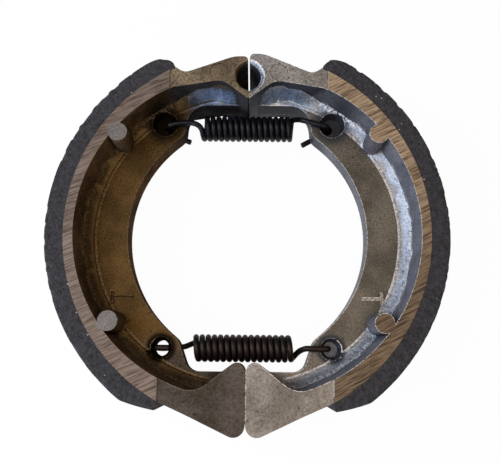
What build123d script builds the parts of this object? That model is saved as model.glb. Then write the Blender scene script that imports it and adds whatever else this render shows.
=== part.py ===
# Drum brake shoe set, 110 mm by 25 mm: two die-cast shoes with bonded linings, joined by two return springs.
# Millimetres. The brake axis is Z through the origin, and the set lies on the plane Z = 0.
# +Y points to the anchor pin, -Y to the brake cam. Shoes are drawn on the +X side; the left one is mirrored.

import os
from math import cos, radians, sin, sqrt, tan

from build123d import *

os.makedirs("parts", exist_ok=True)

# Drum and linings
drum_diameter = 110.0
lining_running_gap = 0.1      # between a new lining and the drum
lining_thickness = 5.0
lining_top_angle = 63.3       # from the X axis to the end nearer the anchor pin
lining_foot_angle = 61.9      # from the X axis to the end nearer the cam
lining_side_step = 0.1        # a lining's sides stand this far inside the rim's ground side faces
lining_end_face = 1.9         # flat part of an end, measured along the radius
lining_top_round = 7.0        # degrees of the outer corner that is rounded off
lining_foot_bevel = 9.0       # degrees of the outer corner that is bevelled off
closed_offset = 2.3           # each shoe stands this far inside its working place, springs pulled shut

# Casting: rim and web
shoe_width = 25.0
rim_thickness = 2.5           # at the middle of the shoe
rim_top_angle = 63.5
rim_foot_angle = 63.0
pocket_shift = 4.4            # the rim's inner wall is turned about a point this far out, so the rim thickens
web_thickness = 6.2
web_inner_radius = 35.0
web_arc_angle = 50.0          # the web's inner edge is an arc up to this angle each way
web_corner_share = 0.675      # corner radius beside the anchor head, as a share of the straight side below it
wall_draft = 0.8
ramp_height = 1.6             # sloped band between web and rim
ramp_width = 3.2
ground_step = 0.25            # the rim's ground side faces stand this much proud of the heads
ground_end_x = 21.6

# Casting: anchor head
anchor_height = 42.3          # pin axis above the brake axis
pin_diameter = 8.0
seat_clearance = 0.05
seat_past_centre = 0.7        # the half-round's centre lies this far past the mating face
anchor_flat_foot = 6.5        # lower end of the mating face, below the pin axis
anchor_edge = 4.7             # inner edge of the web, below the pin axis
head_rise_right = 6.6         # top of the head above the pin axis
head_rise_left = 5.8
mouth_right = 1.1             # countersink at the ends of the seat
mouth_left = 0.5
opening_angle = 5.0           # swing of one shoe from closed to the drum
relief_margin = 0.03
flat_clearance = 0.01

# Slope under the anchor head: place along X, foot and crest below the pin axis, rise above the web
corner_slope = [
    (3.4, 4.5, 3.9, 6.4),
    (5.6, 4.4, 2.4, 6.4),
    (8.0, 3.8, 1.7, 6.4),
    (11.0, 3.3, 1.6, 6.4),
    (14.5, 4.6, 2.4, 5.7),
    (17.4, 6.2, 2.8, 3.2),
    (20.3, 7.9, 3.9, 1.8),
    (23.0, 9.4, 5.4, 1.3),
]
slope_wall_radius = 43.0      # the places along X are for a wall of this radius and go along with it
slope_backing = 0.9           # the slope reaches this far into the wall behind it
slope_root = 0.1

# Casting: cam head
cam_tip = 53.7                # sharp corner of the cam head before rounding, below the brake axis
cam_tip_round = 2.8
cam_top = 32.25               # sharp upper corner before rounding
cam_top_round = 2.3
cam_edge = 36.8               # inner edge of the web beside the cam head
cam_flat_clearance = 0.05

# Spring holes, posts and small cast marks
upper_hole_diameter = 3.1
upper_hole_shift = (-1.1, -0.6)     # from the middle of the recess above it
upper_recess_diameter = 7.2
upper_recess_depth = 2.2
upper_recess_taper = 1.0      # the recess is this much smaller in radius at its floor
upper_recess_angle = 53.0     # from the X axis
upper_recess_outset = 0.56    # beyond the middle of the web
lower_hole_diameter = 4.2
lower_sink_diameter = 5.8
lower_hole_angle = 53.85
lower_hole_outset = -0.86
post_diameter = 5.1
post_spread = 0.4             # how much wider a post's radius is at its foot
upper_post = (35.0, 25.7)
lower_post = (34.7, -24.5)
ejector_mark = (8.2, 1.1)     # place on the anchor head, from the pin axis
ejector_mark_diameter = 5.2
ejector_mark_depth = 0.25
witness_height = 0.35
witness_width = 0.8
witness_cross = (36.0, -17.5)
witness_cross_length = 3.4
witness_stem_length = 5.6

# Springs, drawn with flat-sided wire in short chords
wire_diameter = 1.55
wire_sides = 6
coil_diameter = 7.35
coil_pitch = 1.64
coil_chords = 12              # a turn
coil_turns = 15 + 7 / 12
upper_coil_start = -12.95
upper_coil_drop = 10.85       # coil axis below the pin axis
upper_coil_height = 0.5       # coil axis above the middle of the shoe's width
upper_coil_phase = 150        # degrees from +Y towards +Z at the coil's left end
lower_coil_start = -13.73
lower_coil_rise = 1.55        # coil axis above the cam head's upper corner
lower_coil_phase = 300
lead_height = 0.95            # wire axis over or under the web's face where a hook lies along it

# Worked out from the values above
lining_width = shoe_width - 2 * lining_side_step
lining_radius = drum_diameter / 2 - lining_running_gap
rim_radius = lining_radius - lining_thickness
wall_radius = rim_radius - rim_thickness - pocket_shift
wall_foot_radius = wall_radius - wall_draft
mid_height = shoe_width / 2
web_top = mid_height + web_thickness / 2
web_bottom = mid_height - web_thickness / 2
head_top = shoe_width - ground_step
over_web = web_top + lead_height
under_web = web_bottom - lead_height
shoe_centre = Vector(-closed_offset, 0)
pocket_centre = Vector(pocket_shift - closed_offset, 0)
web_middle_radius = (web_inner_radius + wall_radius) / 2
seat_radius = pin_diameter / 2 + seat_clearance
coil_length = coil_pitch * coil_turns
upper_coil_y = anchor_height - upper_coil_drop
upper_coil_z = mid_height + upper_coil_height
lower_coil_y = lower_coil_rise - cam_top


def polar(centre, radius, angle):
    return Vector(centre.X + radius * cos(radians(angle)), centre.Y + radius * sin(radians(angle)))


def from_pin(x, y):
    return Vector(x, anchor_height + y)


def web_point(angle, outset):
    """Point outset from the arc that runs midway between the web's inner edge and the rim's wall."""
    return polar((shoe_centre + pocket_centre) / 2, web_middle_radius + outset, angle)


def arc_tangent(centre, radius, angle, length):
    """Point beyond an end of the web's arc, along its tangent."""
    end = polar(centre, radius, angle)
    turn = 90 if angle > 0 else -90
    return polar(end, length, angle + turn)


anchor_face_foot = from_pin(flat_clearance, 0.3 - anchor_flat_foot)
anchor_rim_end = polar(shoe_centre, rim_radius, rim_top_angle)
anchor_pocket_end = polar(shoe_centre, rim_radius - 3.5219, 55.4531)
anchor_edge_corner = from_pin(2.4, -anchor_edge)
cam_face_foot = Vector(cam_flat_clearance, -cam_tip)
cam_face_top = Vector(cam_flat_clearance, -cam_top)
cam_face_middle = Vector(cam_flat_clearance, -(cam_tip + cam_top) / 2)
cam_rim_end = polar(shoe_centre, rim_radius, -rim_foot_angle)
cam_pocket_end = polar(pocket_centre, wall_radius + 0.5, -58.2)
upper_recess = web_point(upper_recess_angle, upper_recess_outset)
upper_hole = upper_recess + Vector(*upper_hole_shift)
lower_hole = web_point(-lower_hole_angle, lower_hole_outset)


def anchor_outside(head_rise):
    """Mating face, half-round seat, relief above the seat and outer edge of the anchor head."""
    slope = tan(radians(opening_angle / 2))
    seat_foot = from_pin(flat_clearance, -sqrt(seat_radius**2 - (seat_past_centre + flat_clearance) ** 2))
    relief_x = seat_radius * slope + relief_margin
    relief_foot = from_pin(relief_x, sqrt(seat_radius**2 - (seat_past_centre + relief_x) ** 2))
    Line(anchor_face_foot, seat_foot)
    ThreePointArc(seat_foot, from_pin(seat_radius - seat_past_centre, 0), relief_foot)
    FilletPolyline(
        relief_foot,
        from_pin(head_rise * slope + relief_margin, head_rise),
        from_pin(4.1, head_rise),
        from_pin(17.6, 0.8),
        anchor_rim_end,
        radius=[1.2, 9.0, 3.0],
    )


def cam_outside():
    """Outer edge and tip of the cam head, up to the middle of its mating face."""
    FilletPolyline(
        cam_rim_end,
        (14.5, 6.7 - cam_tip),
        cam_face_foot,
        cam_face_middle,
        radius=[20.0, cam_tip_round],
    )


def web_inside():
    """Inner edge of the web, from the cam's mating face round to the anchor's."""
    FilletPolyline(
        cam_face_middle,
        cam_face_top,
        (6.4, -cam_edge),
        (15.0, -cam_edge),
        arc_tangent(shoe_centre, web_inner_radius, -web_arc_angle, 3.0),
        polar(shoe_centre, web_inner_radius, -web_arc_angle),
        radius=[cam_top_round, 1.5, 3.5, 4.0],
    )
    CenterArc(shoe_centre, web_inner_radius, -web_arc_angle, 2 * web_arc_angle)
    side_foot = arc_tangent(shoe_centre, web_inner_radius, web_arc_angle, 3.0)
    corner = from_pin(17.2, -anchor_edge)
    FilletPolyline(
        polar(shoe_centre, web_inner_radius, web_arc_angle),
        side_foot,
        corner,
        anchor_edge_corner,
        from_pin(0.3, -anchor_flat_foot),
        anchor_face_foot,
        radius=[4.0, web_corner_share * (corner - side_foot).length, 0.8, 0.15],
    )


def anchor_inside():
    """Inner edge of the anchor head where it has the shoe's full width."""
    Line(anchor_rim_end, anchor_pocket_end)
    FilletPolyline(
        anchor_pocket_end,
        from_pin(7.2, -1.2),
        from_pin(0.3, -anchor_flat_foot),
        anchor_face_foot,
        radius=[5.0, 0.15],
    )


def cam_inside():
    """Inner edge of the cam head where it has the shoe's full width."""
    FilletPolyline(
        cam_face_middle,
        cam_face_top,
        (12.8, -42.2),
        cam_pocket_end,
        cam_rim_end,
        radius=[cam_top_round, 7.0, 0.5],
    )


def casting(head_rise, mouth):
    """One shoe casting, on the +X side."""
    pocket_axis = Axis((pocket_centre.X, 0, 0), (0, 0, 1))

    with BuildPart() as shoe:
        # Plan of the whole shoe
        with BuildSketch():
            with BuildLine():
                anchor_outside(head_rise)
                CenterArc(shoe_centre, rim_radius, rim_top_angle, -rim_top_angle - rim_foot_angle)
                cam_outside()
                web_inside()
            make_face()
        extrude(amount=shoe_width)

        # Pockets above and below the web, turned about one centre, with the sloped band at their foot
        for side in (1, -1):
            floor = mid_height + side * web_thickness / 2
            with BuildSketch(Plane.XZ.shift_origin((pocket_centre.X, 0, 0))):
                with BuildLine():
                    Polyline(
                        (0, floor),
                        (wall_foot_radius - ramp_width, floor),
                        (wall_foot_radius, floor + side * ramp_height),
                        (wall_radius, mid_height + side * mid_height),
                        (wall_radius, mid_height + side * (mid_height + 1)),
                        (0, mid_height + side * (mid_height + 1)),
                        close=True,
                    )
                make_face()
            revolve(axis=pocket_axis, mode=Mode.SUBTRACT)

        # Anchor and cam heads, full width
        with BuildSketch(Plane.XY.offset(ground_step)):
            with BuildLine():
                anchor_outside(head_rise)
                anchor_inside()
            make_face()
            with BuildLine():
                cam_outside()
                cam_inside()
            make_face()
        extrude(amount=shoe_width - 2 * ground_step)

        # Steep slope under the anchor head, running out into the sloped band of the rim
        for x, foot, crest, rise in corner_slope:
            with BuildSketch(Plane.YZ.offset(x * wall_radius / slope_wall_radius)):
                with BuildLine():
                    Polyline(
                        (anchor_height - foot, web_top - slope_root),
                        (anchor_height - crest, web_top + rise),
                        (anchor_height - crest + slope_backing, web_top + rise),
                        (anchor_height - crest + slope_backing, web_top - slope_root),
                        close=True,
                    )
                make_face()
        loft(ruled=True)

        # The heads are as cast, a little below the rim's ground side faces
        with Locations((0, 0, 0), (0, 0, head_top)):
            Box(
                ground_end_x,
                3 * cam_tip,
                ground_step,
                align=(Align.MIN, Align.CENTER, Align.MIN),
                mode=Mode.SUBTRACT,
            )

        # Ejector posts, ground flush with the rim
        with Locations((*upper_post, web_top), (*lower_post, web_top)):
            Cone(
                post_diameter / 2 + post_spread,
                post_diameter / 2,
                shoe_width - web_top,
                align=(Align.CENTER, Align.CENTER, Align.MIN),
            )

        # Upper spring hole, off centre in a tapered recess that also cuts into the sloped band
        recess_radius = upper_recess_diameter / 2
        with Locations((upper_recess.X, upper_recess.Y, web_top)):
            Cylinder(
                recess_radius,
                ramp_height,
                align=(Align.CENTER, Align.CENTER, Align.MIN),
                mode=Mode.SUBTRACT,
            )
            Cone(
                recess_radius - upper_recess_taper,
                recess_radius,
                upper_recess_depth,
                align=(Align.CENTER, Align.CENTER, Align.MAX),
                mode=Mode.SUBTRACT,
            )
        with Locations((upper_hole.X, upper_hole.Y, web_top)):
            Hole(upper_hole_diameter / 2, web_thickness)

        # Lower spring hole, countersunk
        with Locations((lower_hole.X, lower_hole.Y, web_top)):
            CounterSinkHole(lower_hole_diameter / 2, lower_sink_diameter / 2, web_thickness, 90)

        # Countersunk ends of the anchor seat
        for height, facing in ((head_top, 1), (ground_step, -1)):
            with Locations(Plane(origin=(-seat_past_centre, anchor_height, height), z_dir=(0, 0, facing))):
                Cone(
                    seat_radius,
                    seat_radius + 2 * mouth,
                    2 * mouth,
                    mode=Mode.SUBTRACT,
                )

        # Ejector mark on the anchor head
        with Locations(from_pin(*ejector_mark) + Vector(0, 0, head_top)):
            Cylinder(ejector_mark_diameter / 2, 2 * ejector_mark_depth, mode=Mode.SUBTRACT)

        # Raised witness line of the die insert, a lying T
        with BuildSketch(Plane.XY.offset(web_top)):
            with Locations(witness_cross):
                Rectangle(witness_width, witness_cross_length)
                Rectangle(witness_stem_length, witness_width, align=(Align.MAX, Align.CENTER))
        extrude(amount=witness_height)

    return shoe.part


def lining_plan():
    """Side view of a lining on the +X side."""
    face_radius = rim_radius + lining_end_face
    top_arc_angle = lining_top_angle - lining_top_round
    foot_arc_angle = lining_foot_angle - lining_foot_bevel
    with BuildSketch() as plan:
        with BuildLine():
            CenterArc(shoe_centre, rim_radius, -lining_foot_angle, lining_foot_angle + lining_top_angle)
            Line(
                polar(shoe_centre, rim_radius, lining_top_angle),
                polar(shoe_centre, face_radius, lining_top_angle),
            )
            ThreePointArc(
                polar(shoe_centre, face_radius, lining_top_angle),
                polar(shoe_centre, lining_radius - 0.9, lining_top_angle - 0.43 * lining_top_round),
                polar(shoe_centre, lining_radius, top_arc_angle),
            )
            CenterArc(shoe_centre, lining_radius, top_arc_angle, -top_arc_angle - foot_arc_angle)
            Polyline(
                polar(shoe_centre, lining_radius, -foot_arc_angle),
                polar(shoe_centre, face_radius + 0.4, -lining_foot_angle + 1.0),
                polar(shoe_centre, rim_radius, -lining_foot_angle),
            )
        make_face()
    return plan.sketch


def coil_points(start, y, z, phase):
    """Corners of the coiled stretch of a spring, a right-hand helix along +X."""
    radius = (coil_diameter - wire_diameter) / 2
    points = []
    for step in range(round(coil_turns * coil_chords) + 1):
        angle = radians(phase + step * 360 / coil_chords)
        x = start + coil_pitch * step / coil_chords
        points.append((x, y + radius * cos(angle), z + radius * sin(angle)))
    return points


def at_hole(hole, side, steps):
    """Points of a hook near its hole; each step is outward, along +Y, and a height above the ground."""
    return [(side * (hole.X + outward), hole.Y + y, z) for outward, y, z in steps]


def at_coil(x, y, steps):
    """Points of a hook near an end of its coil; heights are above the middle of the shoe's width."""
    return [(x + dx, y + dy, mid_height + z) for dx, dy, z in steps]


def spring(points):
    """Wire swept through a list of points."""
    with BuildPart() as wound:
        with BuildLine() as path:
            Polyline(*points)
        with BuildSketch(Plane(origin=path.line @ 0, z_dir=path.line % 0)):
            RegularPolygon(wire_diameter / 2, wire_sides)
        sweep(path=path.line, transition=Transition.RIGHT)
    return wound.part


# Castings
right_casting = casting(head_rise_right, mouth_right)
left_casting = casting(head_rise_left, mouth_left)

with BuildPart() as right_shoe:
    add(right_casting)
right_shoe.part.label = "right_shoe"
export_step(right_shoe.part, "parts/right_shoe.step")

with BuildPart() as left_shoe:
    add(left_casting)
    mirror(about=Plane.YZ, mode=Mode.REPLACE)
left_shoe.part.label = "left_shoe"
export_step(left_shoe.part, "parts/left_shoe.step")

# Linings
with BuildPart(Plane.XY.offset(mid_height - lining_width / 2)) as right_lining:
    add(lining_plan())
    extrude(amount=lining_width)
right_lining.part.label = "right_lining"
export_step(right_lining.part, "parts/right_lining.step")

with BuildPart(Plane.XY.offset(mid_height - lining_width / 2)) as left_lining:
    add(lining_plan())
    extrude(amount=lining_width)
    mirror(about=Plane.YZ, mode=Mode.REPLACE)
left_lining.part.label = "left_lining"
export_step(left_lining.part, "parts/left_lining.step")

# Upper spring: both hooks pass over the webs, down through the holes and back underneath
upper_left_hook = [
    *at_hole(upper_hole, -1, [
        (-5.5, -2.0, under_web),
        (-3.4, -1.2, under_web),
        (-0.6, -0.3, under_web),
        (0.1, -0.1, web_bottom),
        (0.1, 0.0, web_top),
        (-1.0, 0.3, over_web),
        (-4.0, 0.8, over_web),
    ]),
    *at_coil(upper_coil_start, upper_coil_y, [
        (-3.25, 0.35, 4.05),
        (-1.35, -0.25, 3.9),
        (-0.35, -1.25, 3.2),
    ]),
]
upper_right_hook = [
    *at_coil(upper_coil_start + coil_length, upper_coil_y, [
        (1.7, 2.55, 1.7),
        (3.1, 1.55, 3.5),
    ]),
    *at_hole(upper_hole, 1, [
        (-4.5, 1.1, over_web),
        (-1.7, 0.3, over_web),
        (-0.2, -0.2, web_top),
        (-0.1, -0.3, web_bottom),
        (-1.0, -0.6, under_web),
        (-4.1, -1.2, under_web),
        (-6.9, -2.7, under_web),
    ]),
]
upper_coil = coil_points(upper_coil_start, upper_coil_y, upper_coil_z, upper_coil_phase)
upper_wire = spring([*upper_left_hook, *upper_coil, *upper_right_hook])
with BuildPart() as upper_spring:
    add(upper_wire)
upper_spring.part.label = "upper_spring"
export_step(upper_spring.part, "parts/upper_spring.step")

# Lower spring: the left hook passes under its web and back on top, the right one over its web and down
lower_left_hook = [
    *at_hole(lower_hole, -1, [
        (-2.2, 0.0, over_web),
        (0.2, 0.0, over_web),
        (1.0, 0.0, web_top),
        (1.0, 0.0, web_bottom),
        (0.0, 0.0, under_web),
        (-4.9, 0.4, under_web),
    ]),
    *at_coil(lower_coil_start, lower_coil_y, [
        (-2.07, 0.8, -3.8),
        (-0.77, 1.3, -3.2),
    ]),
]
lower_right_hook = [
    *at_coil(lower_coil_start + coil_length, lower_coil_y, [
        (0.17, -2.8, -0.2),
        (0.77, -2.2, -1.0),
        (1.67, -1.2, -0.2),
        (2.47, -0.5, 1.7),
        (3.77, 0.0, 3.8),
    ]),
    *at_hole(lower_hole, 1, [
        (-5.2, 0.1, over_web),
        (-1.8, 0.1, over_web),
        (-0.8, 0.1, web_top),
        (-0.8, 0.1, web_bottom),
        (-1.8, 0.2, under_web),
    ]),
]
lower_coil = coil_points(lower_coil_start, lower_coil_y, mid_height, lower_coil_phase)
lower_wire = spring([*lower_left_hook, *lower_coil, *lower_right_hook])
with BuildPart() as lower_spring:
    add(lower_wire)
lower_spring.part.label = "lower_spring"
export_step(lower_spring.part, "parts/lower_spring.step")
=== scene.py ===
import math

import bmesh
import bpy
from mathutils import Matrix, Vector, noise


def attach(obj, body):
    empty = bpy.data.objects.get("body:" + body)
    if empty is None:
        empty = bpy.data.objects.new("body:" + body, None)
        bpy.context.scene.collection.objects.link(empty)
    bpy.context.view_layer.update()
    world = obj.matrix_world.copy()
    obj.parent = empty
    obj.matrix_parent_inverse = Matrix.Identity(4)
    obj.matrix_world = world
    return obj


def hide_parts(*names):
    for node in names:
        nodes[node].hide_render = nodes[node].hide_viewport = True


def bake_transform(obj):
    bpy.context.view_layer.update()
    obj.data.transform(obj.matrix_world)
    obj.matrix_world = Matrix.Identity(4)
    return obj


mm = 0.001
shutOffset = 2.3 * mm                  # how far inside its working place the springs hold each shoe

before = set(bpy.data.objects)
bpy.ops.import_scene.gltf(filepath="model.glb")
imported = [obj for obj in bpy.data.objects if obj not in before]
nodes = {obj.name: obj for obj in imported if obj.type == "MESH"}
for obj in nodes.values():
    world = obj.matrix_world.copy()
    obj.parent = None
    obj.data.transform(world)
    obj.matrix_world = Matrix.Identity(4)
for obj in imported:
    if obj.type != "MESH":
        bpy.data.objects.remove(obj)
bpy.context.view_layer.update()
scene = bpy.context.scene
print("frame loaded:", ", ".join(sorted(nodes)))


# Colours, nodes and pieces

# A Mix node repeats its sockets' names for each kind of data, so they are picked by number
mixShare, mixUnder, mixOver, mixResult = 0, 6, 7, 2      # for colours
numberUnder, numberOver, numberResult = 2, 3, 0          # for plain numbers


def linear(hexCode):
    # sRGB hex to the linear values that the shaders take
    channels = [int(hexCode[i:i + 2], 16) / 255 for i in (1, 3, 5)]
    return tuple(c / 12.92 if c <= 0.04045 else ((c + 0.055) / 1.055) ** 2.4 for c in channels) + (1.0,)


def grey(value):
    return (value, value, value, 1.0)


def setInputs(material, node, inputs):
    # an input is a fixed value, or the node and the output that feed it
    for name, value in inputs.items():
        if isinstance(value, tuple) and isinstance(value[0], bpy.types.Node):
            material.node_tree.links.new(value[0].outputs[value[1]], node.inputs[name])
        else:
            node.inputs[name].default_value = value


def addNode(material, kind, settings=None, inputs=None, stops=()):
    # one node with its settings, its inputs and links and, on a colour ramp, its stops
    node = material.node_tree.nodes.new(kind)
    for name, value in (settings or {}).items():
        setattr(node, name, value)
    setInputs(material, node, inputs or {})
    if stops:
        elements = node.color_ramp.elements
        while len(elements) < len(stops):
            elements.new(0.5)
        for element, (at, colour) in zip(elements, stops):
            element.position = at
            element.color = colour
    return node


def newMaterial(name, baseHex, metallic, roughness):
    material = bpy.data.materials.new(name)
    material.use_nodes = True
    shader = material.node_tree.nodes["Principled BSDF"]
    setInputs(
        material, shader, {"Base Color": linear(baseHex), "Metallic": metallic, "Roughness": roughness},
    )
    return material, shader


def addPiece(name, mesh, material, edgeAngle):
    # smooth all over, with edges sharper than edgeAngle degrees kept crisp
    mesh.polygons.foreach_set("use_smooth", [True] * len(mesh.polygons))
    mesh.set_sharp_from_angle(angle=math.radians(edgeAngle))
    mesh.materials.clear()
    mesh.materials.append(material)
    piece = bpy.data.objects.new(name, mesh)
    scene.collection.objects.link(piece)
    return piece


# Camera

camera = {
    "place": (1.7 * mm, -34.5 * mm, 176.0 * mm),
    "turn": (12.32, 0.22, 0.59),       # degrees about X, Y and Z
    "lens": 43.2,
    "sensorWidth": 36.0,
    "nearest": 0.005,                  # metres
    "farthest": 10.0,
}

cameraData = bpy.data.cameras.new("camera")
cameraData.lens = camera["lens"]
cameraData.sensor_width = camera["sensorWidth"]
cameraData.clip_start = camera["nearest"]
cameraData.clip_end = camera["farthest"]
cameraObject = bpy.data.objects.new("camera", cameraData)
cameraObject.location = camera["place"]
cameraObject.rotation_euler = [math.radians(a) for a in camera["turn"]]
scene.collection.objects.link(cameraObject)
scene.camera = cameraObject
scene.view_settings.view_transform = "Standard"
print("camera set")


# Light and floor

studio = {
    # each lamp's place and size in metres, its watts and its colour
    "windowLight": ((-0.40, 0.02, 0.34), (0.30, 0.52), 3.3, "#dce7fb"),       # a cool window on the left
    "windowEndLight": ((-0.30, -0.44, 0.24), (0.26, 0.26), 1.5, "#dce7fb"),   # the same window's far end
    "ceilingLight": ((0.08, -0.10, 0.60), (0.50, 0.50), 2.1, "#ffe6cc"),
    "worldColour": "#8f867c",
    "worldStrength": 0.30,
    "floorColour": "#e8e8e8",
    "floorSize": 3.0,
    "backdropShare": 0.97,             # how much of the floor's own white the camera sees
}


def areaLight(name, place, size, power, colour):
    data = bpy.data.lights.new(name, "AREA")
    data.shape = "RECTANGLE"
    data.size, data.size_y = size
    data.energy = power
    data.color = linear(colour)[:3]
    light = bpy.data.objects.new(name, data)
    light.location = place
    light.rotation_euler = (-Vector(place)).to_track_quat("-Z", "Y").to_euler()
    scene.collection.objects.link(light)


for lampName in ("windowLight", "windowEndLight", "ceilingLight"):
    areaLight(lampName, *studio[lampName])

world = bpy.data.worlds.new("studioWorld")
world.use_nodes = True
scene.world = world
background = world.node_tree.nodes["Background"]
setInputs(world, background, {"Color": linear(studio["worldColour"]), "Strength": studio["worldStrength"]})
backdrop = addNode(world, "ShaderNodeBackground", {}, {"Color": grey(1.0), "Strength": 1.0})
worldRays = addNode(world, "ShaderNodeLightPath")
worldMix = addNode(
    world, "ShaderNodeMixShader", {}, {0: (worldRays, "Is Camera Ray"), 1: (background, 0), 2: (backdrop, 0)},
)
setInputs(world, world.node_tree.nodes["World Output"], {"Surface": (worldMix, 0)})

# Painted board: plain and matt, nearly white to the camera and in the metal's reflections
floorMaterial, floorShader = newMaterial("paleFloor", studio["floorColour"], metallic=0.0, roughness=0.9)
rays = addNode(floorMaterial, "ShaderNodeLightPath")
glossyRays = addNode(
    floorMaterial, "ShaderNodeMath", {"operation": "MAXIMUM"},
    {0: (rays, "Is Glossy Ray"), 1: (rays, "Is Transmission Ray")},
)
seenRays = addNode(
    floorMaterial, "ShaderNodeMath", {"operation": "MAXIMUM"},
    {0: (rays, "Is Camera Ray"), 1: (glossyRays, 0)},
)
whiteShare = addNode(
    floorMaterial, "ShaderNodeMath", {"operation": "MULTIPLY"},
    {0: (seenRays, 0), 1: studio["backdropShare"]},
)
white = addNode(floorMaterial, "ShaderNodeEmission", {}, {"Color": grey(1.0), "Strength": 1.0})
floorMix = addNode(
    floorMaterial, "ShaderNodeMixShader", {}, {0: (whiteShare, 0), 1: (floorShader, 0), 2: (white, 0)},
)
setInputs(floorMaterial, floorMaterial.node_tree.nodes["Material Output"], {"Surface": (floorMix, 0)})

floorMesh = bpy.data.meshes.new("floor")
half = studio["floorSize"] / 2
floorMesh.from_pydata(
    [(-half, -half, 0), (half, -half, 0), (half, half, 0), (-half, half, 0)], [], [(0, 1, 2, 3)],
)
floorMesh.materials.append(floorMaterial)
floor = bpy.data.objects.new("floor", floorMesh)
scene.collection.objects.link(floor)
print("light and floor set")


# Castings: die-cast aluminium, left as it came from the die, with the rim's side faces linished on a belt

casting = {
    "edgeAngle": 32,                   # degrees
    "mergeReach": 1e-6,                # metres; the CAD mesh's faces are joined, then made whole where flat
    "flatAngle": 0.5,                  # degrees
    "grainSize": 0.52 * mm,            # real cast grain is about 0.15 mm, drawn coarser to show
    "grainStops": ((0.37, 0.5), (0.46, 0.82), (0.54, 1.0), (0.64, 1.35)),   # the noise, and how light it gets
    "grainShare": 0.85,                # how strongly the grain shades the skin
    "pitSpacing": 2.6 * mm,
    "pitStops": ((0.07, 0.35), (0.16, 1.0)),   # the way from a pit's middle, and how light it gets
    "pitShare": 0.8,
    "patchSize": 11.0 * mm,            # of the stain's patches
    "scratchPitch": 0.40 * mm,         # belt marks are about 0.1 mm apart, drawn coarser to show
    "scratchLength": 14.0,             # times their pitch
    "scratchStops": (0.38, 0.56),      # the noise at dark scratches and at light ones
    "groundHeight": 24.93 * mm,        # faces above this were linished
    "groundPatch": 0.78,               # how light their darker patches are
    "groundMetal": 0.25,               # how metallic they look
    "ribHeight": 15.95 * mm,           # the witness lines' tops
    "ribReach": 0.08 * mm,
    "postRadius": 2.65 * mm,
    "cornerReach": 5.0 * mm,           # how far painted shade spreads from the inner corners
    "cornerShade": (0.35, 0.8, 0.8),    # openness where the painted shade is darkest and where it ends, and its most
    "holeShadeStart": 3.2 * mm,           # painted shade round the spring holes thins from here out to each reach
    "holeShadeReach": {"upperHole": 7.5 * mm, "lowerHole": 4.6 * mm},
    "holeShadeMost": 0.97,
    "wearGlintWidth": 0.4 * mm,             # bright edges, partly real wear and partly a painted glint of the window
    "roughness": (0.34, 0.52),
    "roughGrain": (0.35, 0.65),        # the grain's noise at both
    "bumpStrength": 0.55,
    "bumpHeight": 0.16 * mm,
    # places on the right casting, which the left one mirrors
    "spots": {
        "upperHole": (23.7 * mm, 31.6 * mm), "lowerHole": (22.4 * mm, -30.8 * mm),
        "upperPost": (35.0 * mm, 25.7 * mm), "lowerPost": (34.7 * mm, -24.5 * mm),
        "arcMiddle": (-shutOffset, 0.0),
    },
    # what each share is read from, and where it goes from none to all
    "shares": {
        "patch": ("patchNoise", 0.36, 0.62),
        "sloped": ("level", 0.08, 0.2),                   # anything but a wall
        "flat": ("level", 0.972, 0.992),
        "top": ("alongY", 24 * mm, 31 * mm),
        "upper": ("alongY", -20 * mm, 30 * mm),
        "foot": ("alongY", -26 * mm, -36 * mm),
        "land": ("alongZ", 18 * mm, 20 * mm),
        "belowLand": ("alongZ", 22 * mm, 20 * mm),
        "nearSeam": ("fromSeam", 19 * mm, 12 * mm),
        "nearHead": ("fromSeam", 25 * mm, 20 * mm),
        "innerRim": ("arcMiddle", 49.2 * mm, 48.4 * mm),  # not where the lining covers the rim's edge
        "edge": ("edgeTurn", 0.985, 0.86),                # edgeTurn is 1 away from edges
        "openAir": ("openness", 0.55, 0.8),
        "wornGlintGrain": ("grainNoise", 0.40, 0.56),          # the bright edges show in spots
    },
}

# a pair of colours is a light and a dark one
# Both castings are the same aluminium with light and shade painted into their colours: the left one's as in
# shade, browner and darker, the right one's as lit by the window on the left, greyer and lighter.
leftShadedTones = {
    "flat": ("#5a4528", "#45351e"),
    # slope, wall, head and headWall paint how each face turns to the window: slopes lighter, walls in painted
    # shade, head a painted blue reflection of the window on the slopes under the anchor heads, headWall
    # painted shade on their walls
    "slope": ("#625137", "#4b3d29"),
    "wall": ("#66523e", "#473827"),
    "head": ("#8094b4", "#4b5a72"),
    "headWall": ("#3a3a3d", "#29292b"),
    "foot": ("#504b47", "#3c3731"),
    "land": ("#8b7e67", "#695e4e"),
    "ground": ("#7c6f64", "#54483f"),
    "lowerShade": 1.0,                 # of the linished face, against its upper end
    "scratchAngle": 24,                # degrees
    "rib": "#30230f",                  # the witness line's top, painted dark as its shaded side
    "post": "#72706d",                 # the posts' tops, and how much of it shows
    "postShare": 0.8,
    # colour of the painted shade in the inner corners and round the spring holes
    "dirt": "#0f0b07",
    # bright edges: partly real wear, partly a painted glint of the window, white on the lit right casting
    "worn": "#796a51",
    "metal": 0.6,                      # how metallic its faces are, and its walls
    "wallMetal": 0.03,
    "gloss": 0.0,                      # specular level
    "side": -1,                        # of the seam
}
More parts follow.
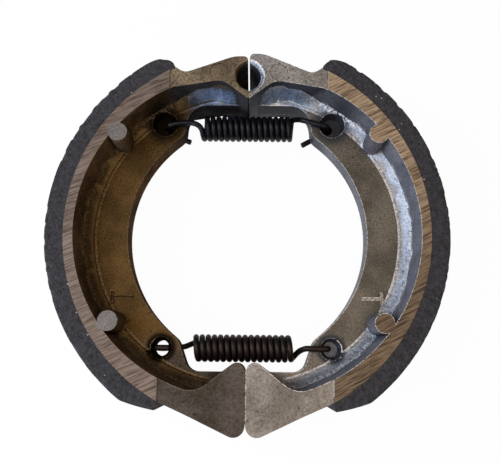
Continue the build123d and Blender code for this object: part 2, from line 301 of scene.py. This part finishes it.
rightLitTones = {
    "flat": ("#6a665d", "#524f48"),
    # slope is a painted highlight of the window, wall and headWall painted shade, head a painted blue
    # reflection of the window
    "slope": ("#9ba0a6", "#8a8f96"),
    "wall": ("#6b6a6f", "#545459"),
    "head": ("#93a4bd", "#66758a"),
    "headWall": ("#3a3d43", "#282a2f"),
    "foot": ("#84817d", "#68645f"),
    "land": ("#9e9b97", "#7d7970"),
    "ground": ("#ac977c", "#665446"),
    "lowerShade": 0.40,
    "scratchAngle": 27,
    # the witness line's top, painted light as its lit edge
    "rib": "#86827a",
    "post": "#8f7a5e",
    "postShare": 0.3,
    # colour of the painted shade in the inner corners and round the spring holes
    "dirt": "#2e3036",
    # bright edges: a painted glint of the window, with some real wear
    "worn": "#e4e4e6",
    "metal": 0.6,
    "wallMetal": 0.12,
    "gloss": 0.04,
    "side": 1,
}


def castAluminium(name, tones):
    # As-cast aluminium: dull skin with coarse grain, small pits and brown stain, with light and shade painted
    # in: lighter slopes, darker walls and a painted blue reflection under the anchor heads.
    # Linished faces: bare metal with short slanting scratches, light and dark side by side.
    material, shader = newMaterial(name, tones["flat"][0], metallic=tones["metal"], roughness=0.45)
    place = addNode(material, "ShaderNodeTexCoord")
    shape = addNode(material, "ShaderNodeNewGeometry")
    axes = addNode(material, "ShaderNodeSeparateXYZ", {}, {"Vector": (place, "Object")})
    facing = addNode(material, "ShaderNodeSeparateXYZ", {}, {"Vector": (shape, "True Normal")})
    level = addNode(material, "ShaderNodeMath", {"operation": "ABSOLUTE"}, {0: (facing, "Z")})
    fromSeam = addNode(material, "ShaderNodeMath", {"operation": "ABSOLUTE"}, {0: (axes, "X")})
    inPlan = addNode(
        material, "ShaderNodeVectorMath", {"operation": "MULTIPLY"},
        {0: (place, "Object"), 1: (1.0, 1.0, 0.0)},
    )
    patches = addNode(
        material, "ShaderNodeTexNoise", {},
        {"Scale": 1 / casting["patchSize"], "Detail": 4.0, "Roughness": 0.62, "Vector": (place, "Object")},
    )
    grain = addNode(
        material, "ShaderNodeTexNoise", {},
        {"Scale": 1 / casting["grainSize"], "Detail": 3.0, "Roughness": 0.7, "Vector": (place, "Object")},
    )
    pits = addNode(
        material, "ShaderNodeTexVoronoi", {},
        {"Scale": 1 / casting["pitSpacing"], "Randomness": 1.0, "Vector": (place, "Object")},
    )
    belt = addNode(
        material, "ShaderNodeMapping", {"vector_type": "TEXTURE"},
        {
            "Rotation": (0.0, 0.0, math.radians(tones["scratchAngle"])),
            "Scale": (casting["scratchLength"], 1.0, 1.0), "Vector": (place, "Object"),
        },
    )
    scratches = addNode(
        material, "ShaderNodeTexNoise", {},
        {"Scale": 1 / casting["scratchPitch"], "Detail": 3.0, "Roughness": 0.65, "Vector": (belt, 0)},
    )
    corners = addNode(
        material, "ShaderNodeAmbientOcclusion", {"samples": 8}, {"Distance": casting["cornerReach"]},
    )
    rounded = addNode(material, "ShaderNodeBevel", {"samples": 6}, {"Radius": casting["wearGlintWidth"]})
    edgeTurn = addNode(
        material, "ShaderNodeVectorMath", {"operation": "DOT_PRODUCT"},
        {0: (rounded, 0), 1: (shape, "True Normal")},
    )

    # what is measured at each point of the surface
    measures = {
        "alongY": (axes, "Y"), "alongZ": (axes, "Z"), "fromSeam": (fromSeam, 0), "level": (level, 0),
        "patchNoise": (patches, "Fac"), "grainNoise": (grain, "Fac"),
        "openness": (corners, "AO"), "edgeTurn": (edgeTurn, "Value"),
    }
    for spot, (x, y) in casting["spots"].items():
        away = addNode(
            material, "ShaderNodeVectorMath", {"operation": "DISTANCE"},
            {0: (inPlan, 0), 1: (tones["side"] * x, y, 0.0)},
        )
        measures[spot] = (away, "Value")

    # shares from none to all: where the surface is this or that
    shares = {}
    for share, (measure, none, full) in casting["shares"].items():
        node = addNode(
            material, "ShaderNodeMapRange", {"interpolation_type": "SMOOTHSTEP"},
            {"Value": measures[measure], "From Min": none, "From Max": full},
        )
        shares[share] = (node, 0)
    # painted shade round the spring holes, their recesses and countersinks
    for hole, reach in casting["holeShadeReach"].items():
        node = addNode(
            material, "ShaderNodeMapRange", {"interpolation_type": "SMOOTHSTEP"},
            {
                "Value": measures[hole], "From Min": casting["holeShadeStart"], "From Max": reach,
                "To Min": casting["holeShadeMost"], "To Max": 0.0,
            },
        )
        shares[hole] = (node, 0)
    # painted shade in the inner corners, where the ambient occlusion finds them closed in
    shadeDeepest, shadeEnd, most = casting["cornerShade"]
    node = addNode(
        material, "ShaderNodeMapRange", {},
        {"Value": measures["openness"], "From Min": shadeDeepest, "From Max": shadeEnd, "To Min": most, "To Max": 0.0},
    )
    shares["corners"] = (node, 0)
    for share, test, measure, limits in (
        ("linished", "GREATER_THAN", "alongZ", {1: casting["groundHeight"]}),
        ("rib", "COMPARE", "alongZ", {1: casting["ribHeight"], 2: casting["ribReach"]}),
        ("upperPost", "LESS_THAN", "upperPost", {1: casting["postRadius"]}),
        ("lowerPost", "LESS_THAN", "lowerPost", {1: casting["postRadius"]}),
    ):
        node = addNode(material, "ShaderNodeMath", {"operation": test}, {0: measures[measure], **limits})
        shares[share] = (node, 0)
    # a name stands for what was made above, and anything else for a fixed value
    for share, operation, first, second in (
        ("overSeam", "MULTIPLY", "top", "nearSeam"),
        ("head", "MULTIPLY", "overSeam", "belowLand"),
        ("headWall", "MULTIPLY", "top", "nearHead"),
        # painted shade round the holes, joined with that in the inner corners
        ("holeShade", "MAXIMUM", "upperHole", "lowerHole"),
        ("dirt", "MAXIMUM", "corners", "holeShade"),
        ("posts", "MAXIMUM", "upperPost", "lowerPost"),
        ("postTops", "MULTIPLY", "posts", tones["postShare"]),
        # the bright edges: wear, and a painted glint
        ("innerEdge", "MULTIPLY", "edge", "innerRim"),
        ("openEdge", "MULTIPLY", "innerEdge", "openAir"),
        ("wear", "MULTIPLY", "openEdge", "wornGlintGrain"),
    ):
        node = addNode(
            material, "ShaderNodeMath", {"operation": operation},
            {0: shares[first], 1: shares.get(second, second)},
        )
        shares[share] = (node, 0)

    # the colours, laid over each other in this order
    coats = {}
    scratchColours = [linear(colour) for colour in reversed(tones["ground"])]
    for coat, source, stops in (
        ("grain", (grain, "Fac"), [(at, grey(value)) for at, value in casting["grainStops"]]),
        ("pits", (pits, "Distance"), [(at, grey(value)) for at, value in casting["pitStops"]]),
        ("scratches", (scratches, "Fac"), list(zip(casting["scratchStops"], scratchColours))),
    ):
        node = addNode(material, "ShaderNodeValToRGB", {}, {"Fac": source}, stops)
        coats[coat] = (node, "Color")
    for coat in ("flat", "slope", "wall", "head", "headWall", "foot", "land"):
        light, dark = tones[coat]
        node = addNode(
            material, "ShaderNodeMix", {"data_type": "RGBA"},
            {mixShare: shares["patch"], mixUnder: linear(dark), mixOver: linear(light)},
        )
        coats[coat] = (node, mixResult)
    # the faces' tones, with light and shade painted in by how each face turns: lighter slopes, shaded walls
    # and a painted reflection by the anchor heads
    for coat, blend, share, under, over in (
        ("landed", "MIX", "land", "flat", "land"),
        ("headed", "MIX", "head", "landed", "head"),
        ("footed", "MIX", "foot", "headed", "foot"),
        ("slopes", "MIX", "head", "slope", "head"),
        ("faces", "MIX", "flat", "slopes", "footed"),
        ("ribbed", "MIX", "rib", "faces", linear(tones["rib"])),
        ("walls", "MIX", "headWall", "wall", "headWall"),
        ("skin", "MIX", "sloped", "walls", "ribbed"),
        ("grained", "MULTIPLY", casting["grainShare"], "skin", "grain"),
        ("pitted", "MULTIPLY", casting["pitShare"], "grained", "pits"),
        # painted shade laid over the skin
        ("shadePainted", "MIX", "dirt", "pitted", linear(tones["dirt"])),
        ("postGrain", "MULTIPLY", casting["grainShare"], linear(tones["post"]), "grain"),
        ("scratched", "MIX", "postTops", "scratches", "postGrain"),
        ("groundPatches", "MIX", "patch", grey(casting["groundPatch"]), grey(1.0)),
        ("groundShade", "MIX", "upper", grey(tones["lowerShade"]), grey(1.0)),
        ("groundPatched", "MULTIPLY", 1.0, "scratched", "groundPatches"),
        ("ground", "MULTIPLY", 1.0, "groundPatched", "groundShade"),
        ("faced", "MIX", "linished", "shadePainted", "ground"),
        # the bright edges, worn and with a painted glint, laid on last
        ("finished", "MIX", "wear", "faced", linear(tones["worn"])),
    ):
        node = addNode(
            material, "ShaderNodeMix", {"data_type": "RGBA", "blend_type": blend},
            {
                mixShare: shares.get(share, share),
                mixUnder: coats.get(under, under), mixOver: coats.get(over, over),
            },
        )
        coats[coat] = (node, mixResult)

    smooth, rough = casting["roughness"]
    smoothGrain, roughGrain = casting["roughGrain"]
    roughness = addNode(
        material, "ShaderNodeMapRange", {},
        {
            "Value": (grain, "Fac"), "From Min": smoothGrain, "From Max": roughGrain,
            "To Min": smooth, "To Max": rough,
        },
    )
    skinMetal = addNode(
        material, "ShaderNodeMapRange", {},
        {"Value": shares["sloped"], "To Min": tones["wallMetal"], "To Max": tones["metal"]},
    )
    metal = addNode(
        material, "ShaderNodeMix", {"data_type": "FLOAT"},
        {mixShare: shares["linished"], numberUnder: (skinMetal, 0), numberOver: casting["groundMetal"]},
    )
    height = addNode(
        material, "ShaderNodeMix", {"data_type": "FLOAT"},
        {mixShare: shares["linished"], numberUnder: (grain, "Fac"), numberOver: (scratches, "Fac")},
    )
    bump = addNode(
        material, "ShaderNodeBump", {},
        {
            "Strength": casting["bumpStrength"], "Distance": casting["bumpHeight"],
            "Height": (height, numberResult),
        },
    )
    setInputs(material, shader, {
        "Base Color": coats["finished"], "Roughness": (roughness, 0), "Metallic": (metal, numberResult),
        "Normal": (bump, 0), "Specular IOR Level": tones["gloss"],
    })
    return material


def castingPiece(nodeName, pieceName, material, body):
    # The CAD casting again, its flat faces whole and its curved ones smooth between crisp edges
    mesh = nodes[nodeName].data.copy()
    mesh.name = pieceName
    shape = bmesh.new()
    shape.from_mesh(mesh)
    bmesh.ops.remove_doubles(shape, verts=shape.verts, dist=casting["mergeReach"])
    bmesh.ops.dissolve_limit(
        shape, angle_limit=math.radians(casting["flatAngle"]), verts=shape.verts, edges=shape.edges,
        use_dissolve_boundaries=False,
    )
    for face in shape.faces:
        face.material_index = 0
    shape.to_mesh(mesh)
    shape.free()
    piece = addPiece(pieceName, mesh, material, casting["edgeAngle"])
    evened = piece.modifiers.new("evenNormals", "WEIGHTED_NORMAL")
    evened.keep_sharp = True
    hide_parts(nodeName)
    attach(piece, body)
    return piece


# the same aluminium twice: painted in shade for the left casting, painted lit for the right
leftSkin = castAluminium("castAluminiumLeftShaded", leftShadedTones)
rightSkin = castAluminium("castAluminiumRightLit", rightLitTones)
leftCasting = castingPiece("left_shoe", "leftCasting", leftSkin, "left")
rightCasting = castingPiece("right_shoe", "rightCasting", rightSkin, "right")
print("castings dressed")


# Painted shade in three of the spring holes: plugs, black-brown or grey, that stand for the shade seen down
# them

shadePlugs = {
    "upperHole": (22.61 * mm, 30.99 * mm, 1.53 * mm),     # X and Y on the right, and how far the plug reaches
    "lowerHole": (22.40 * mm, -30.80 * mm, 2.08 * mm),
    "low": 9.5 * mm,
    "high": 11.2 * mm,
    "dish": 0.5 * mm,                  # how deep its middle sinks
    "lumpHeight": 0.12 * mm,
    "lumpSize": 0.7 * mm,
    "rings": 6,
    "sides": 28,
    "edgeAngle": 50,                   # degrees
    "gritSize": 0.4 * mm,              # size of the plug's lumps of tone and bump
    "gritHeight": 0.1 * mm,
    "toneStops": (0.35, 0.65),         # the grit's noise where it is dark and where it is light
    "blackBrown": ("#1a1512", "#0b0908"),
    "plugGrey": ("#b2bac8", "#7e8694"),
}


def shadePlugMaterial(name, colours):
    # Painted shade: black-brown or grey, matt, lumpy
    light, dark = colours
    material, shader = newMaterial(name, light, metallic=0.0, roughness=0.85)
    place = addNode(material, "ShaderNodeTexCoord")
    lumps = addNode(
        material, "ShaderNodeTexNoise", {},
        {"Scale": 1 / shadePlugs["gritSize"], "Detail": 3.0, "Vector": (place, "Object")},
    )
    tone = addNode(
        material, "ShaderNodeValToRGB", {}, {"Fac": (lumps, "Fac")},
        list(zip(shadePlugs["toneStops"], (linear(dark), linear(light)))),
    )
    bump = addNode(
        material, "ShaderNodeBump", {},
        {"Strength": 0.6, "Distance": shadePlugs["gritHeight"], "Height": (lumps, "Fac")},
    )
    setInputs(material, shader, {"Base Color": (tone, 0), "Normal": (bump, 0)})
    return material


def shadePlug(name, side, hole, material, body, seed):
    # a plug of painted shade, dished round the wire
    x, y, reach = side * hole[0], hole[1], hole[2]
    rings, sides, high = shadePlugs["rings"], shadePlugs["sides"], shadePlugs["high"]
    vertices, faces = [], []
    for ring in range(rings):
        share = 1 - ring / rings
        for k in range(sides):
            turn = 2 * math.pi * k / sides
            at = Vector((x + reach * share * math.cos(turn), y + reach * share * math.sin(turn), 0))
            rough = noise.noise(at / shadePlugs["lumpSize"] + Vector((seed, 0, 0)))
            sunk = shadePlugs["dish"] * (1 - share * share)
            vertices.append((at.x, at.y, high - sunk + shadePlugs["lumpHeight"] * rough))
    middle = len(vertices)
    under = middle + 1
    vertices.append((x, y, high - shadePlugs["dish"]))
    for k in range(sides):
        turn = 2 * math.pi * k / sides
        vertices.append((x + reach * math.cos(turn), y + reach * math.sin(turn), shadePlugs["low"]))
    for ring in range(rings - 1):
        for k in range(sides):
            a, b = ring * sides + k, ring * sides + (k + 1) % sides
            faces.append((a, b, b + sides, a + sides))
    for k in range(sides):
        after = (k + 1) % sides
        faces.append(((rings - 1) * sides + k, (rings - 1) * sides + after, middle))
        faces.append((after, k, under + k, under + after))
    faces.append(tuple(under + k for k in reversed(range(sides))))
    mesh = bpy.data.meshes.new(name)
    mesh.from_pydata(vertices, [], faces)
    piece = addPiece(name, mesh, material, shadePlugs["edgeAngle"])
    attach(piece, body)
    return piece


# black-brown plugs of painted shade in the upper holes, a grey one in the lower right hole
dirt = shadePlugMaterial("blackShadePlug", shadePlugs["blackBrown"])
paintedGreyShade = shadePlugMaterial("greyShadePlug", shadePlugs["plugGrey"])
shadePlug("leftShadePlug", -1, shadePlugs["upperHole"], dirt, "left", 1.0)
shadePlug("rightShadePlug", 1, shadePlugs["upperHole"], dirt, "right", 5.0)
shadePlug("rightLowerShadePlug", 1, shadePlugs["lowerHole"], paintedGreyShade, "right", 9.0)
print("dirt laid in the spring holes")


# Linings: moulded friction material, resin with mineral grit and fibre, ground to size and bonded on

lining = {
    "outerRadius": 54.9 * mm,
    "innerRadius": 49.9 * mm,
    "topAngle": 63.3,                  # degrees from the middle of the arc to each end
    "footAngle": 61.9,
    "topRound": 7.0,                   # degrees over which the top end is rounded off, and by how much
    "topDrop": 3.1 * mm,
    "footBevel": 9.0,                  # the same for the foot end's bevel
    "footDrop": 2.7 * mm,
    "low": 0.1 * mm,
    "high": 24.9 * mm,
    "bondGap": 0.01 * mm,              # kept clear of the rim
    "groundGap": 0.03 * mm,            # kept inside the outer radius
    "angleStep": 0.55,                 # degrees between sections
    "acrossSteps": 8,
    "heightSteps": 26,
    "edgeAngle": 50,                   # degrees
    "chipReach": 0.9 * mm,             # how far from an outer edge the break goes
    "chipDepth": 0.6 * mm,
    "chipLeast": 0.22,                 # share of the depth that is lost all along
    "chipSlope": 0.8,                  # how much of it is lost in height too
    "chipSize": 2.2 * mm,
    "chipGain": 1.6,                   # how much the noise breaks away, and how much of it is held back
    "chipLoss": 0.1,
    "fineChips": 0.3,                  # size of the finer breaks, times chipSize
    "fineGain": 0.5,
    "raggedAngle": 10,                 # degrees next to the foot end that lost the most
    "colours": ("#3a393c", "#1d1c1e"),
    "mottleSize": 1.1 * mm,
    "mottleStops": (0.36, 0.62),       # the noise where it is dark and where it is light
    "speckColour": "#b9b4ae",
    "speckSpacing": 1.9 * mm,
    "speckStops": (0.05, 0.12),        # where a speck's body ends and where its edge does, times the spacing
    "speckPatches": 4.5 * mm,          # specks gather in patches of this size
    "gatherStops": (0.52, 0.6),
    "gritSize": 1.0 * mm,              # real grit is under 0.5 mm, drawn coarser to show
    "gritHeight": 0.75 * mm,
}


def frictionLining(name, colours):
    # Resin-bonded friction material: dead matt charcoal, gritty, with pale mineral specks and dark pits
    light, dark = colours
    material, shader = newMaterial(name, light, metallic=0.0, roughness=0.9)
    place = addNode(material, "ShaderNodeTexCoord")
    mottle = addNode(
        material, "ShaderNodeTexNoise", {},
        {"Scale": 1 / lining["mottleSize"], "Detail": 5.0, "Roughness": 0.75, "Vector": (place, "Object")},
    )
    base = addNode(
        material, "ShaderNodeValToRGB", {}, {"Fac": (mottle, "Fac")},
        list(zip(lining["mottleStops"], (linear(dark), linear(light)))),
    )
    cells = addNode(
        material, "ShaderNodeTexVoronoi", {},
        {"Scale": 1 / lining["speckSpacing"], "Randomness": 1.0, "Vector": (place, "Object")},
    )
    speck = addNode(
        material, "ShaderNodeValToRGB", {}, {"Fac": (cells, "Distance")},
        list(zip(lining["speckStops"], (grey(1.0), grey(0.0)))),
    )
    gather = addNode(
        material, "ShaderNodeTexNoise", {},
        {"Scale": 1 / lining["speckPatches"], "Detail": 1.0, "Vector": (place, "Object")},
    )
    gathered = addNode(
        material, "ShaderNodeValToRGB", {}, {"Fac": (gather, "Fac")},
        list(zip(lining["gatherStops"], (grey(0.0), grey(1.0)))),
    )
    speckShare = addNode(
        material, "ShaderNodeMath", {"operation": "MULTIPLY"}, {0: (speck, "Color"), 1: (gathered, "Color")},
    )
    colour = addNode(
        material, "ShaderNodeMix", {"data_type": "RGBA"},
        {mixShare: (speckShare, 0), mixUnder: (base, "Color"), mixOver: linear(lining["speckColour"])},
    )
    grit = addNode(
        material, "ShaderNodeTexNoise", {},
        {"Scale": 1 / lining["gritSize"], "Detail": 5.0, "Roughness": 0.7, "Vector": (place, "Object")},
    )
    bump = addNode(
        material, "ShaderNodeBump", {},
        {"Strength": 1.0, "Distance": lining["gritHeight"], "Height": (grit, "Fac")},
    )
    setInputs(material, shader, {"Base Color": (colour, mixResult), "Normal": (bump, 0), "IOR": 1.5})
    return material


def liningOuter(angle):
    # outer radius at an angle: rounded off at the top end, bevelled at the foot end
    outer = lining["outerRadius"]
    pastTop = angle - lining["topAngle"] + lining["topRound"]
    pastFoot = lining["footBevel"] - lining["footAngle"] - angle
    if pastTop > 0:
        share = pastTop / lining["topRound"]
        return outer - lining["topDrop"] * (1 - math.sqrt(max(0.0, 1 - share * share)))
    if pastFoot > 0:
        return outer - lining["footDrop"] * pastFoot / lining["footBevel"]
    return outer


def chip(point, seed):
    # how deep the edge is broken away here, 0 to 1, mostly 0
    size = lining["chipSize"]
    value = noise.noise(point / size + Vector((seed, seed, seed)))
    fine = noise.noise(point / (size * lining["fineChips"]) + Vector((seed, 0, 0)))
    depth = lining["chipGain"] * value - lining["chipLoss"] + lining["fineGain"] * fine
    return max(0.0, min(1.0, depth))


def liningSection(inner, outer):
    # radius and height round one section, from its low inner corner
    low, high = lining["low"], lining["high"]
    across, tall = lining["acrossSteps"], lining["heightSteps"]
    section = [(inner + (outer - inner) * i / across, low) for i in range(across)]
    section += [(outer, low + (high - low) * i / tall) for i in range(tall)]
    section += [(outer - (outer - inner) * i / across, high) for i in range(across)]
    section += [(inner, high - (high - low) * i / tall) for i in range(tall)]
    return section


def liningPiece(nodeName, pieceName, side, material, body, seed):
    low, high, reach = lining["low"], lining["high"], lining["chipReach"]
    angles = []
    angle = -lining["footAngle"]
    while angle < lining["topAngle"] - 1e-6:
        angles.append(angle)
        angle += lining["angleStep"]
    angles.append(lining["topAngle"])
    vertices, faces = [], []
    for angle in angles:
        turn = math.radians(angle)
        outward = Vector((side * math.cos(turn), math.sin(turn), 0))
        atFoot = max(0.0, 1 - (angle + lining["footAngle"]) / lining["raggedAngle"])
        outer = liningOuter(angle) - lining["groundGap"]
        for radius, z in liningSection(lining["innerRadius"] + lining["bondGap"], outer):
            point = Vector((side * (radius * math.cos(turn) - shutOffset), radius * math.sin(turn), z))
            # broken edges: the outer corners lose a little, more at some places
            fromOuter = outer - radius
            fromFace = min(z - low, high - z)
            if fromOuter < reach and fromFace < reach:
                near = (1 - fromOuter / reach) * (1 - fromFace / reach)
                broken = lining["chipLeast"] + (1 + atFoot) * chip(point, seed)
                depth = lining["chipDepth"] * broken * near
                point -= outward * depth
                point.z += depth * lining["chipSlope"] * (1 if z - low < high - z else -1)
            vertices.append(point)
    count = len(vertices) // len(angles)
    for ring in range(len(angles) - 1):
        for i in range(count):
            a = ring * count + i
            b = ring * count + (i + 1) % count
            faces.append((a, b, b + count, a + count) if side > 0 else (b, a, a + count, b + count))
    mesh = bpy.data.meshes.new(pieceName)
    mesh.from_pydata(vertices, [], faces)
    # one face closes each end
    shape = bmesh.new()
    shape.from_mesh(mesh)
    shape.verts.ensure_lookup_table()
    for start in (0, (len(angles) - 1) * count):
        edges = []
        for i in range(count):
            edges.append(shape.edges.get((shape.verts[start + i], shape.verts[start + (i + 1) % count])))
        bmesh.ops.holes_fill(shape, edges=edges, sides=0)
    bmesh.ops.recalc_face_normals(shape, faces=shape.faces)
    shape.to_mesh(mesh)
    shape.free()
    piece = addPiece(pieceName, mesh, material, lining["edgeAngle"])
    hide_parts(nodeName)
    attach(piece, body)
    return piece


liningMaterial = frictionLining("frictionLining", lining["colours"])
liningPiece("left_lining", "leftLining", -1, liningMaterial, "left", 3.1)
liningPiece("right_lining", "rightLining", 1, liningMaterial, "right", 8.7)
print("linings made")


# Springs: hard-drawn spring wire, blackened in oil

spring = {
    "wireRadius": 0.775 * mm,
    "coilRadius": 2.9 * mm,            # to the middle of the wire
    "pitch": 1.64 * mm,
    "turns": 15 + 7 / 12,
    "coilSteps": 28,                   # a turn
    "hookStep": 0.45 * mm,
    "wireSides": 12,
    "endLength": 0.12 * mm,            # of the rounded-off cut ends
    "endShare": 0.8,                   # their radius, against the wire's
    "edgeAngle": 60,                   # degrees
    "stainSize": 1.6 * mm,
    "stainStops": (0.4, 0.7),          # the noise where the oil is whole and where it has worn
    "stainHeight": 0.05 * mm,
}

# heights of the wire's middle on the hooks, in mm: over the web, in its hole and under it
over, webTop, webBottom, under = 16.55, 15.6, 9.4, 8.45

upperSpring = {
    "colours": ("#17181c", "#24252a"),      # the oil's black, and where it has worn
    "roughness": 0.42,
    "start": -12.95 * mm,                   # X where the coil begins
    "axis": (31.45 * mm, 13.0 * mm),        # Y and Z
    "phase": 150,                           # degrees
    # the hooks' points in mm
    "leftHook": [
        (-17.1, 29.0, under), (-19.2, 29.8, under), (-22.0, 31.0, under), (-22.8, 31.5, webBottom),
        (-22.7, 31.1, webTop), (-21.6, 31.3, over), (-18.6, 31.8, over), (-16.2, 31.8, over),
        (-14.3, 31.2, 16.4), (-13.3, 30.2, 15.7),
    ],
    "rightHook": [
        (14.3, 34.0, 14.2), (15.7, 33.0, 16.0), (18.1, 32.1, over), (20.9, 31.3, over), (22.5, 31.0, webTop),
        (22.8, 31.5, webBottom), (21.8, 31.0, under), (18.5, 29.8, under), (15.7, 28.3, under),
    ],
}
lowerSpring = {
    "colours": ("#2a2320", "#352b26"),
    "roughness": 0.5,
    "start": -13.73 * mm,
    "axis": (-30.7 * mm, 12.5 * mm),
    "phase": 300,
    "leftHook": [
        (-20.2, -30.8, over), (-22.6, -30.8, over), (-23.4, -30.8, webTop), (-23.4, -30.8, webBottom),
        (-22.4, -30.8, under), (-17.5, -30.4, under), (-15.8, -29.9, 8.7), (-14.5, -29.4, 9.3),
    ],
    "rightHook": [
        (12.0, -33.5, 12.3), (12.6, -32.9, 11.5), (13.5, -31.9, 12.3), (14.3, -31.2, 14.2),
        (15.6, -30.7, 16.3), (17.2, -30.7, over), (20.6, -30.7, over), (21.6, -30.7, webTop),
        (21.6, -30.7, webBottom), (20.6, -30.6, under),
    ],
}


def springSteel(name, colours, roughness):
    # Oil-blackened spring wire: near black with a soft sheen, brown where the oil film has worn
    black, stain = colours
    material, shader = newMaterial(name, black, metallic=0.85, roughness=roughness)
    place = addNode(material, "ShaderNodeTexCoord")
    wear = addNode(
        material, "ShaderNodeTexNoise", {},
        {"Scale": 1 / spring["stainSize"], "Detail": 5.0, "Roughness": 0.7, "Vector": (place, "Object")},
    )
    tone = addNode(
        material, "ShaderNodeValToRGB", {}, {"Fac": (wear, "Fac")},
        list(zip(spring["stainStops"], (linear(black), linear(stain)))),
    )
    bump = addNode(
        material, "ShaderNodeBump", {},
        {"Strength": 0.25, "Distance": spring["stainHeight"], "Height": (wear, "Fac")},
    )
    setInputs(material, shader, {"Base Color": (tone, 0), "Normal": (bump, 0)})
    return material


def coilPath(make):
    points = []
    y, z = make["axis"]
    for step in range(round(spring["turns"] * spring["coilSteps"]) + 1):
        turn = math.radians(make["phase"]) + 2 * math.pi * step / spring["coilSteps"]
        points.append(Vector((
            make["start"] + spring["pitch"] * step / spring["coilSteps"],
            y + spring["coilRadius"] * math.cos(turn), z + spring["coilRadius"] * math.sin(turn),
        )))
    return points


def smoothPath(points, step):
    # Catmull-Rom curve through given points, with about one point every step
    result = []
    for i in range(len(points) - 1):
        a = points[max(i - 1, 0)]
        b, c = points[i], points[i + 1]
        d = points[min(i + 2, len(points) - 1)]
        count = max(1, round((c - b).length / step))
        for k in range(count):
            t = k / count
            result.append(0.5 * (
                2 * b + (c - a) * t + (2 * a - 5 * b + 4 * c - d) * t * t + (3 * b - a - 3 * c + d) * t ** 3
            ))
    result.append(points[-1])
    return result


def wireMesh(name, path):
    # round wire along a path, with rounded-off cut ends
    sides = spring["wireSides"]
    rings = []
    normal = None
    for i, point in enumerate(path):
        along = (path[min(i + 1, len(path) - 1)] - path[max(i - 1, 0)]).normalized()
        if normal is None:
            normal = along.orthogonal().normalized()
        normal = (normal - along * normal.dot(along)).normalized()
        rings.append((point, along, normal, spring["wireRadius"]))
    point, along, normal, radius = rings[0]
    rings.insert(0, (point - along * spring["endLength"], along, normal, radius * spring["endShare"]))
    point, along, normal, radius = rings[-1]
    rings.append((point + along * spring["endLength"], along, normal, radius * spring["endShare"]))
    vertices, faces = [], []
    for point, along, normal, radius in rings:
        other = along.cross(normal)
        for k in range(sides):
            turn = 2 * math.pi * k / sides
            vertices.append(point + (normal * math.cos(turn) + other * math.sin(turn)) * radius)
    lastRing = (len(rings) - 1) * sides
    for start in range(0, lastRing, sides):
        for k in range(sides):
            a, b = start + k, start + (k + 1) % sides
            faces.append((a, b, b + sides, a + sides))
    faces.append(tuple(reversed(range(sides))))
    faces.append(tuple(range(lastRing, lastRing + sides)))
    mesh = bpy.data.meshes.new(name)
    mesh.from_pydata(vertices, [], faces)
    return mesh


def springPiece(nodeName, pieceName, make, material):
    # the hooks start and end on the coil's own first and last points, so the joints are smooth
    coil = coilPath(make)
    leftHook = [Vector(point) * mm for point in make["leftHook"]]
    rightHook = [Vector(point) * mm for point in make["rightHook"]]
    left = smoothPath(leftHook + coil[:2], spring["hookStep"])[:-1]
    right = smoothPath(coil[-2:] + rightHook, spring["hookStep"])[1:]
    mesh = wireMesh(pieceName, left + coil[2:-2] + right)
    piece = addPiece(pieceName, mesh, material, spring["edgeAngle"])
    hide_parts(nodeName)
    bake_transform(piece)
    return piece


upperSteel = springSteel("blackSpringWire", upperSpring["colours"], upperSpring["roughness"])
lowerSteel = springSteel("brownSpringWire", lowerSpring["colours"], lowerSpring["roughness"])
springPiece("upper_spring", "upperSpring", upperSpring, upperSteel)
springPiece("lower_spring", "lowerSpring", lowerSpring, lowerSteel)
print("springs made")

bpy.context.view_layer.update()
